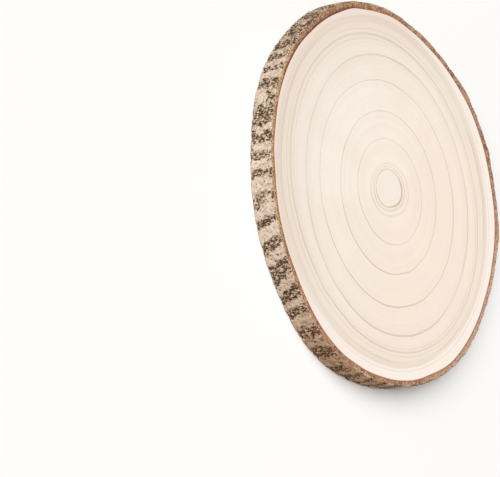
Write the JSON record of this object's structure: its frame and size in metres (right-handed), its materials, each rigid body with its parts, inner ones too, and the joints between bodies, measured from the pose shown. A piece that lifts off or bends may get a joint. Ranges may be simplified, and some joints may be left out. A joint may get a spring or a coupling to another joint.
{
  "type": "wood slice",
  "caption": "Round cross-section of a tree trunk with its bark on: a flat sawn disc with faint growth rings, for use as a rustic charger, coaster or display board.",
  "frame": {"origin": "centre of the bounding box in plan, on the lower sawn face that the slice rests on", "axes": "+Z along the trunk's axis, from the lower sawn face to the upper one; X and Y lie in the sawn faces, with -Y towards the near edge of the slice as it is usually seen"},
  "size_m": [0.2412, 0.2398, 0.016],
  "materials": {
    "wood": "pale cream sawn and sanded end grain with faint tan growth rings, dry and matt, unvarnished",
    "bark": "rough grey-brown bark with flat pale plates between dark fissures, and a reddish-brown cut rim, matt"
  },
  "bodies": {
    "root": {"wood_slice": "wood"}
  },
  "joints": []
}
